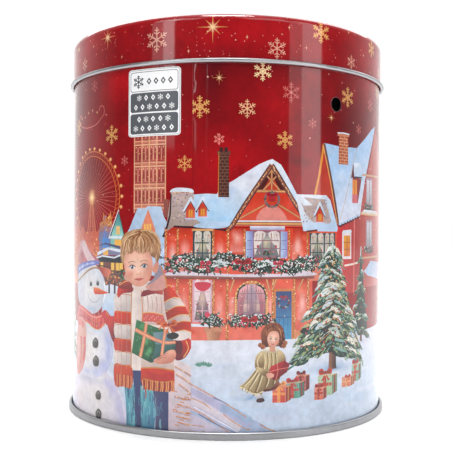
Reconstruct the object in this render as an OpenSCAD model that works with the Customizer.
// Round slip-lid cookie tin, in millimetres.
// A lock-seamed tinplate wall, a bottom end double-seamed onto it over a ring of
// sealing compound, a drawn slip lid with a rolled rim, and a paper label.
// +Z is up, the origin is the centre of the base, and the front faces -Y.
// Bearings are degrees round the tin from the front, positive towards +X.

/* [Tin] */
// Diameter of the plain wall
tin_d = 150; // [130:0.5:180]
// Height from the base to the top of the closed lid
tin_h = 173.5; // [150:0.5:220]
// Thickness of the tinplate
sheet = 0.28; // [0.24:0.01:0.3]

/* [Lid] */
// Depth of the lid, from its top to the middle of its rolled rim
lid_depth = 19.5; // [15:0.1:30]
// Outside radius of the lid's shoulder
shoulder_r = 3; // [2.8:0.1:4]
// Gap between the wall and the lid's skirt
lid_gap = 0.2; // [0.2:0.01:0.4]
// Diameter over the lid's rolled rim
rim_roll_d = 1.75; // [1.5:0.05:2]
// Diameter over the bead rolled into the mouth of the wall
mouth_roll_d = 1.6; // [1.4:0.05:1.8]
// Distance from the lid's side to the step down to its panel
panel_inset = 6.5; // [5:0.5:30]
// Depth of the lid's panel below its rim
panel_drop = 1.6; // [1.3:0.1:2]

/* [Bottom end] */
// Height of the double seam
seam_h = 3; // [2.8:0.1:3.4]
// Distance between neighbouring layers of the double seam, middle to middle
seam_pitch = 0.6; // [0.45:0.01:0.62]
// Height of the bottom panel above the base
base_lift = 3.6; // [3.3:0.1:5]

/* [Side seam] */
// Bearing of the outer fold of the side seam
fold_bearing = -10.9; // [-180:0.1:180]
// Width of the folded side seam
lap_w = 6.2; // [5:0.1:8]
// Width of the groove that sets the side seam
groove_w = 1.8; // [1.4:0.1:2.2]
// Depth of the groove and of the outer fold line
groove_depth = 0.12; // [0.08:0.01:0.14]

/* [Cord holes] */
// Diameter of the two cord holes
hole_d = 6; // [4:0.5:8]
// Distance of the cord holes below the middle of the lid's rolled rim
hole_drop = 15; // [8:0.5:60]
// Bearing of the front cord hole; the other is opposite
hole_bearing = 38.4; // [20:0.1:80]

/* [Label] */
// Width of the label, measured round the wall
label_w = 24.8; // [15:0.1:40]
// Height of the label
label_h = 28.2; // [15:0.1:40]
// Distance of the label's middle below the middle of the lid's rolled rim
label_drop = 16; // [15.5:0.1:80]
// Bearing of the label's middle
label_bearing = -24.1; // [-60:0.1:-22]
// Thickness of the label
label_t = 0.12; // [0.08:0.01:0.2]

/* [Hidden] */
$fn = 180;
arc_steps = 8;

wall_r = tin_d / 2;
wall_mid = wall_r - sheet / 2;

// Lid: radii and heights of the middle of its sheet
skirt_mid = wall_r + lid_gap + sheet / 2;
skirt_out = skirt_mid + sheet / 2;
lid_top_mid = tin_h - sheet / 2;
rim_roll_mid = (rim_roll_d - sheet) / 2;
rim_z = tin_h - lid_depth;
shoulder_x = skirt_out - shoulder_r;
shoulder_z = tin_h - shoulder_r;
panel_r = skirt_out - panel_inset;
panel_z = lid_top_mid - panel_drop;
step_r = 0.6;
roll_turn = 290;

// Mouth of the wall: its rolled bead stops just under the inside of the lid's shoulder
mouth_roll_mid = (mouth_roll_d - sheet) / 2;
mouth_x = wall_mid - mouth_roll_mid;
seat_gap = 0.1;
seat_reach = shoulder_r - sheet - seat_gap - mouth_roll_d / 2;
mouth_z = shoulder_z + sqrt(pow(seat_reach, 2) - pow(mouth_x - shoulder_x, 2));

// Gap between layers that are pressed together
slack = 0.02;

// Room for the printed ink and varnish, between the wall and the label
coat = 0.06;

// Double seam, from the inside out: chuck wall, tin wall, end hook, body hook, outer wall
chuck_mid = wall_mid - sheet - slack;
end_hook_mid = wall_mid + seam_pitch;
body_hook_mid = wall_mid + 2 * seam_pitch;
seam_out_mid = wall_mid + 3 * seam_pitch;
foot_r = 0.4;
body_fold_z = 1.5 * sheet + slack + seam_pitch;
body_hook_z = 2.1;
end_hook_z = 1.35;
end_fold_z = seam_h - sheet / 2 - seam_pitch;
countersink_r = 0.8;
countersink_rise = 0.9;

hole_z = rim_z - hole_drop;
label_z = rim_z - label_drop;

// Points of an arc from angle a0 to angle a1
function arc(x, y, r, a0, a1, n = arc_steps) =
    [for (i = [0:n]) let (a = a0 + (a1 - a0) * i / n) [x + r * cos(a), y + r * sin(a)]];

// Points of a smooth bead of height h and half-width w, centred on radius r and run outwards
function bead(r, z, w, h) =
    [for (i = [-6:6]) [r + w * i / 6, z + h * (1 + cos(30 * i)) / 2]];

function reversed(p) = [for (i = [len(p) - 1:-1:0]) p[i]];
function heading(p, i) = (p[i + 1] - p[i]) / norm(p[i + 1] - p[i]);

// Vector from point i of a path to the mitred corner at unit distance on its left
function mitre(p, i) =
    let (both = heading(p, max(i - 1, 0)) + heading(p, min(i, len(p) - 2)))
    2 * [-both[1], both[0]] / (both * both);
function beside(p, d) = [for (i = [0:len(p) - 1]) p[i] + d * mitre(p, i)];

// A sheet of even thickness, spun round the axis, whose middle follows a path of [radius, height]
module spun_sheet(path) {
    rotate_extrude()
        polygon(concat(beside(path, sheet / 2), reversed(beside(path, -sheet / 2))));
}

// Turns +X of a child to a bearing
module at_bearing(b) {
    rotate(b - 90) children();
}

// Width round the wall as an angle
function as_angle(w) = w / wall_r * 180 / PI;

// Extra layers of the folded side seam, inside the wall
module side_seam_fold() {
    fold_bottom = seam_h + 2;
    fold_top = mouth_z - mouth_roll_d;
    at_bearing(fold_bearing)
        rotate_extrude(angle = as_angle(lap_w))
            translate([wall_r - 3 * sheet, fold_bottom])
                square([2.5 * sheet, fold_top - fold_bottom]);
}

// Fold line and setting groove, pressed into the outside of the side seam
module side_seam_grooves() {
    fold_w = 0.7;
    cut_bottom = seam_h + 0.5;
    cut_h = mouth_z - cut_bottom;
    for (g = [[0, fold_w], [lap_w - groove_w / 2, groove_w]]) {
        r = (pow(g[1] / 2, 2) + pow(groove_depth, 2)) / (2 * groove_depth);
        at_bearing(fold_bearing + as_angle(g[0]))
            translate([wall_r + r - groove_depth, 0, cut_bottom])
                cylinder(h = cut_h, r = r);
    }
}

module cord_hole(bearing) {
    at_bearing(bearing)
        translate([wall_r - 4, 0, hole_z])
            rotate([0, 90, 0]) cylinder(h = 8, d = hole_d);
}

module wall() {
    path = concat(
        arc(mouth_x, mouth_z, mouth_roll_mid, roll_turn, 0, 2 * arc_steps),
        arc(wall_mid + seam_pitch, body_fold_z, seam_pitch, 180, 360),
        [[body_hook_mid, body_hook_z]]
    );
    color("firebrick")
        difference() {
            union() {
                spun_sheet(path);
                side_seam_fold();
            }
            side_seam_grooves();
            for (turn = [0, 180]) cord_hole(hole_bearing + turn);
        }
}

module bottom_end() {
    panel_edge = chuck_mid - 4 * countersink_r;
    sink_z = base_lift + countersink_rise;
    path = concat(
        [[0, base_lift]],
        bead(panel_edge * 0.55, base_lift, 2, 0.6),
        bead(panel_edge * 0.9, base_lift, 2, 0.6),
        [[panel_edge, base_lift]],
        arc(chuck_mid - countersink_r, sink_z - countersink_r, countersink_r, 90, 0),
        arc(chuck_mid + foot_r, foot_r + sheet / 2, foot_r, 180, 270),
        arc(seam_out_mid - foot_r, foot_r + sheet / 2, foot_r, 270, 360),
        arc(body_hook_mid, end_fold_z, seam_pitch, 0, 180),
        [[end_hook_mid, end_hook_z]]
    );
    color("silver") spun_sheet(path);
}

module seam_compound() {
    inner = body_hook_mid + sheet / 2 + slack;
    outer = seam_out_mid - sheet / 2 - slack;
    color("darkseagreen")
        rotate_extrude()
            translate([inner, body_fold_z])
                square([outer - inner, body_hook_z - body_fold_z]);
}

module lid() {
    path = concat(
        arc(skirt_mid + rim_roll_mid, rim_z, rim_roll_mid, 180 + roll_turn, 180, 2 * arc_steps),
        arc(shoulder_x, shoulder_z, shoulder_r - sheet / 2, 0, 90),
        arc(panel_r + step_r, lid_top_mid - step_r, step_r, 90, 180),
        arc(panel_r - step_r, panel_z + step_r, step_r, 0, -90),
        reversed(bead(panel_r * 0.87, panel_z, 1.5, 0.6)),
        reversed(bead(panel_r * 0.5, panel_z, 1.5, 0.6)),
        [[0, panel_z]]
    );
    color("crimson") spun_sheet(path);
}

module front_label() {
    corner_r = 1.6;
    color("whitesmoke")
        intersection() {
            at_bearing(label_bearing - as_angle(label_w) / 2)
                rotate_extrude(angle = as_angle(label_w))
                    translate([wall_r + coat, label_z - label_h / 2])
                        square([label_t, label_h]);
            at_bearing(label_bearing)
                translate([wall_r - 5, 0, label_z])
                    rotate([90, 0, 90])
                        linear_extrude(10) rounded_rectangle(label_w, label_h, corner_r);
        }
}

module rounded_rectangle(w, h, r) {
    x = w / 2 - r;
    y = h / 2 - r;
    polygon(concat(
        arc(x, y, r, 0, 90), arc(-x, y, r, 90, 180),
        arc(-x, -y, r, 180, 270), arc(x, -y, r, 270, 360)
    ));
}

wall();
bottom_end();
seam_compound();
lid();
front_label();
